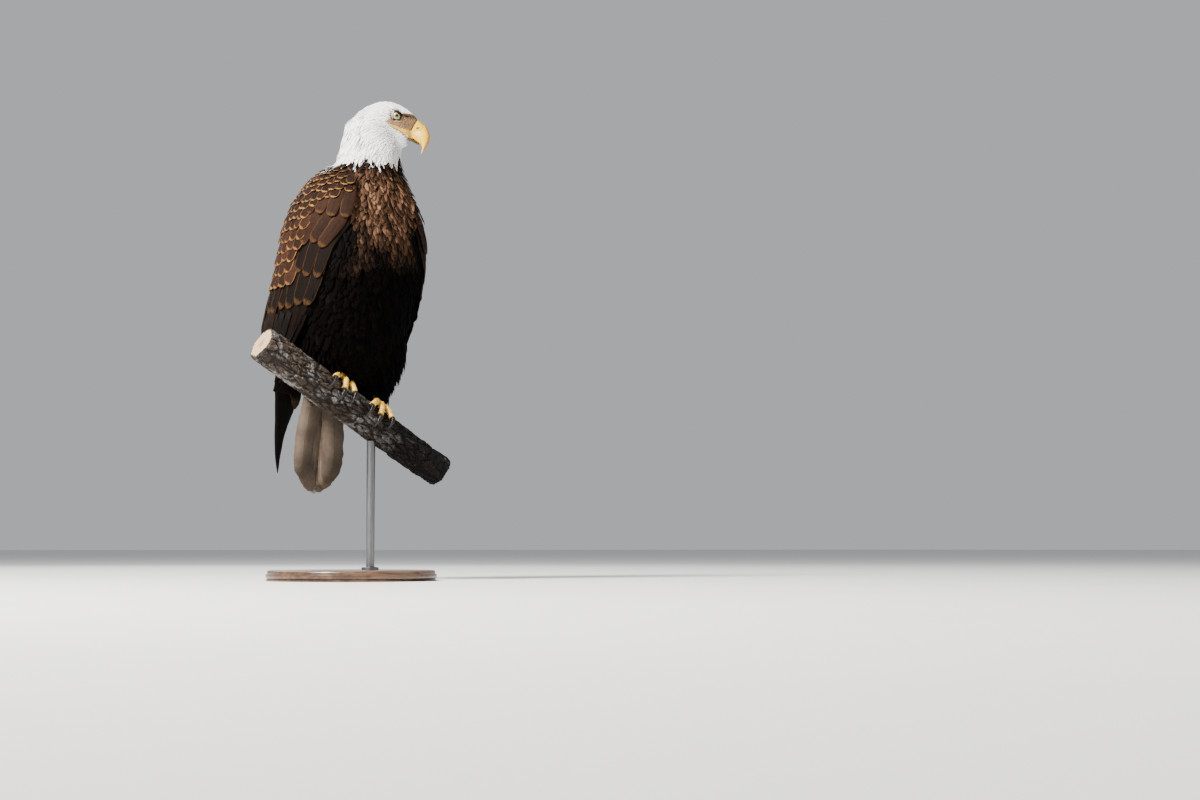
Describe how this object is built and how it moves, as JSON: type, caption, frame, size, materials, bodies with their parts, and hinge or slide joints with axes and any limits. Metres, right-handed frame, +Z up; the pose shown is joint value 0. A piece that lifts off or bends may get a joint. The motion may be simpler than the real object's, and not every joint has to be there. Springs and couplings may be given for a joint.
{
  "type": "perched bald eagle display model",
  "caption": "Life-size still model of an adult bald eagle, wings folded and head turned, gripping a cut length of branch on a round base and rod.",
  "frame": {"origin": "centre of the round base's underside, on the floor", "axes": "+Z up; the bird's breast faces -Y, its right side is -X, and its head is turned towards +X"},
  "size_m": [0.4222, 0.3254, 0.9026],
  "materials": {
    "plumage_white": "white body feathers, matt, warm grey where shaded",
    "plumage_brown": "brown body feathers with paler tan edges",
    "plumage_dark": "blackish brown flight feathers, slight sheen",
    "bill": "yellow horn, satin, paler at the tip",
    "eye": "pale yellow iris, black pupil, wet gloss",
    "scutes": "yellow scaly skin",
    "claw": "black horn",
    "bark": "furrowed grey brown bark",
    "stand_board": "dark stained wood, satin varnish",
    "stand_steel": "brushed steel"
  },
  "bodies": {
    "root": {"head": "plumage_white", "neck": "plumage_white", "trunk": "plumage_brown", "tail": "plumage_white", "bill_upper": "bill", "bill_lower": "bill", "eye_right": "eye", "eye_left": "eye", "wing_right_coverts": "plumage_brown", "wing_right_secondaries": "plumage_dark", "wing_right_primaries": "plumage_dark", "thigh_right": "plumage_brown", "foot_right": "scutes", "claw_right_inner": "claw", "claw_right_middle": "claw", "claw_right_outer": "claw", "claw_right_hallux": "claw", "wing_left_coverts": "plumage_brown", "wing_left_secondaries": "plumage_dark", "wing_left_primaries": "plumage_dark", "thigh_left": "plumage_brown", "foot_left": "scutes", "claw_left_inner": "claw", "claw_left_middle": "claw", "claw_left_outer": "claw", "claw_left_hallux": "claw", "perch_branch": "bark", "stand_base": "stand_board", "stand_rod": "stand_steel"}
  },
  "joints": []
}
